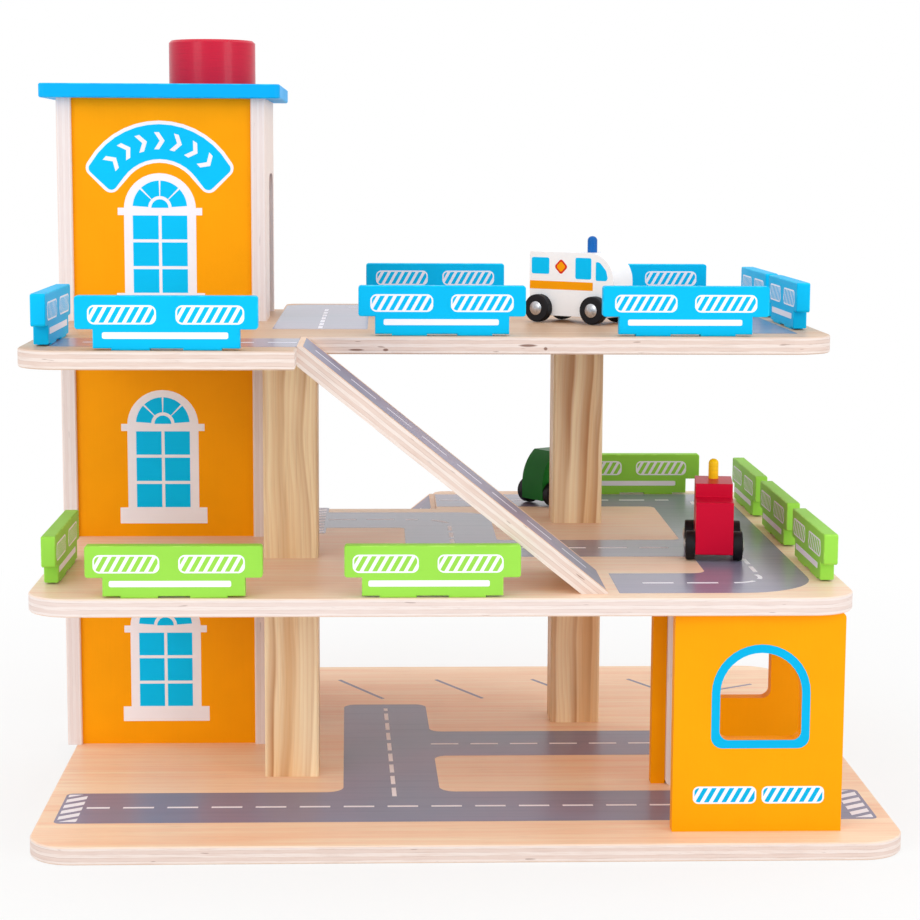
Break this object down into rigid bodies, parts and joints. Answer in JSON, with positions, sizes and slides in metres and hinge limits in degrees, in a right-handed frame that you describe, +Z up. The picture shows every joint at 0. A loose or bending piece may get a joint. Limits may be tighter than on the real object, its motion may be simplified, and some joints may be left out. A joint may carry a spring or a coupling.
{
  "type": "toy parking garage with lift",
  "caption": "Wooden toy parking garage with decks on posts, ramps, painted barriers, a tower with a lift wound by a roof knob, and small toy vehicles.",
  "frame": {"origin": "centre of the base board's underside", "axes": "+X to the right along the front, +Y to the rear, +Z up"},
  "size_m": [0.4948, 0.429, 0.4501],
  "materials": {
    "plywood": "clear matt lacquer on pale plywood, laminated edges",
    "pine": "clear matt lacquer, straight grain",
    "beech": "bare turned wood",
    "orange_paint": "satin paint on plywood",
    "blue_paint": "satin paint on wood",
    "green_paint": "satin paint on wood",
    "crimson_paint": "gloss paint on wood",
    "white_paint": "gloss paint on wood",
    "yellow_paint": "gloss paint on wood",
    "dark_green_paint": "gloss paint on wood",
    "black_paint": "satin paint on turned wood",
    "road_print": "grey ink printed under the boards' lacquer",
    "white_print": "white ink printed on wood",
    "blue_print": "blue ink printed on painted wood",
    "orange_print": "orange ink printed on painted wood",
    "steel": "bare wire and rivet steel"
  },
  "bodies": {
    "garage": {"base_board": "plywood", "middle_deck": "plywood", "top_deck": "plywood", "roof_board": "blue_paint", "ground_left_wall": "plywood", "ground_right_wall": "plywood", "ground_front_panel": "orange_paint", "ground_rear_panel": "orange_paint", "middle_left_wall": "plywood", "middle_right_wall": "plywood", "middle_front_panel": "orange_paint", "middle_rear_panel": "orange_paint", "top_left_wall": "plywood", "top_right_wall": "plywood", "top_front_panel": "orange_paint", "top_rear_panel": "orange_paint", "post_lower_front": "pine", "post_lower_right": "pine", "post_upper_front": "pine", "post_upper_right": "pine", "front_ramp": "plywood", "rear_ramp": "plywood", "booth_front_panel": "orange_paint", "booth_rear_panel": "orange_paint", "booth_rib": "plywood", "blue_barrier_left": "blue_paint", "blue_barrier_front_1": "blue_paint", "blue_barrier_front_2": "blue_paint", "blue_barrier_front_3": "blue_paint", "blue_barriers_rear": "blue_paint", "blue_barrier_right_1": "blue_paint", "blue_barrier_right_2": "blue_paint", "green_barrier_left": "green_paint", "green_barrier_front_1": "green_paint", "green_barrier_front_2": "green_paint", "green_barrier_rear": "green_paint", "green_barriers_right": "green_paint", "cord_guide": "steel", "dowels": "beech", "screws": "steel"},
    "winder": {"knob": "crimson_paint", "spindle": "beech"},
    "lift": {"lift_floor": "plywood", "lift_sides": "plywood", "lift_roof": "plywood", "lift_eye": "steel"},
    "ambulance": {"ambulance_body": "white_paint", "ambulance_axles": "steel", "ambulance_beacon": "blue_paint"},
    "ambulance_front_wheels": {"ambulance_front_wheels": "black_paint"},
    "ambulance_rear_wheels": {"ambulance_rear_wheels": "black_paint"},
    "truck": {"truck_body": "crimson_paint", "truck_axles": "steel", "truck_beacon": "yellow_paint"},
    "truck_front_wheels": {"truck_front_wheels": "black_paint"},
    "truck_rear_wheels": {"truck_rear_wheels": "black_paint"},
    "car": {"car_body": "dark_green_paint", "car_axles": "steel"},
    "car_front_wheels": {"car_front_wheels": "black_paint"},
    "car_rear_wheels": {"car_rear_wheels": "black_paint"}
  },
  "joints": [
    {"name": "knob_turn", "type": "hinge", "parent": "garage", "child": "winder", "pos_m": [-0.154, 0.048, 0.4218], "axis": [0, 0, 1], "range_deg": [0, 1248.5]},
    {"name": "lift_rise", "type": "slide", "parent": "garage", "child": "lift", "axis": [0, 0, 1], "range_m": [0, 0.2615]},
    {"name": "ambulance_roll", "type": "slide", "parent": "garage", "child": "ambulance", "axis": [0.7965, -0.6046, 0], "range_m": [-0.053, 0.053]},
    {"name": "ambulance_front_wheel_turn", "type": "hinge", "parent": "ambulance", "child": "ambulance_front_wheels", "pos_m": [0.08953, -0.01609, 0.2866], "axis": [0.6046, 0.7965, 0], "range_deg": [-358.3, 358.3]},
    {"name": "ambulance_rear_wheel_turn", "type": "hinge", "parent": "ambulance", "child": "ambulance_rear_wheels", "pos_m": [0.05767, 0.00809, 0.2866], "axis": [0.6046, 0.7965, 0], "range_deg": [-358.3, 358.3]},
    {"name": "truck_roll", "type": "slide", "parent": "garage", "child": "truck", "axis": [0.1219, 0.9925, 0], "range_m": [-0.053, 0.053]},
    {"name": "truck_front_wheel_turn", "type": "hinge", "parent": "truck", "child": "truck_front_wheels", "pos_m": [0.15364, -0.04475, 0.1518], "axis": [-0.9925, 0.1219, 0], "range_deg": [-358.3, 358.3]},
    {"name": "truck_rear_wheel_turn", "type": "hinge", "parent": "truck", "child": "truck_rear_wheels", "pos_m": [0.14876, -0.08445, 0.1518], "axis": [-0.9925, 0.1219, 0], "range_deg": [-358.3, 358.3]},
    {"name": "car_roll", "type": "slide", "parent": "garage", "child": "car", "axis": [0.8211, 0.5707, 0], "range_m": [-0.053, 0.014]},
    {"name": "car_front_wheel_turn", "type": "hinge", "parent": "car", "child": "car_front_wheels", "pos_m": [0.08692, 0.14596, 0.1518], "axis": [-0.5707, 0.8211, 0], "range_deg": [-358.3, 95.4]},
    {"name": "car_rear_wheel_turn", "type": "hinge", "parent": "car", "child": "car_rear_wheels", "pos_m": [0.06228, 0.12884, 0.1518], "axis": [-0.5707, 0.8211, 0], "range_deg": [-358.3, 95.4]}
  ],
  "couplings": [
    {"joint": "lift_rise", "follows": "knob_turn", "m_per_rad": 0.012},
    {"joint": "ambulance_front_wheel_turn", "follows": "ambulance_roll", "rad_per_m": 117.65},
    {"joint": "ambulance_rear_wheel_turn", "follows": "ambulance_roll", "rad_per_m": 117.65},
    {"joint": "truck_front_wheel_turn", "follows": "truck_roll", "rad_per_m": 117.65},
    {"joint": "truck_rear_wheel_turn", "follows": "truck_roll", "rad_per_m": 117.65},
    {"joint": "car_front_wheel_turn", "follows": "car_roll", "rad_per_m": 117.65},
    {"joint": "car_rear_wheel_turn", "follows": "car_roll", "rad_per_m": 117.65}
  ]
}
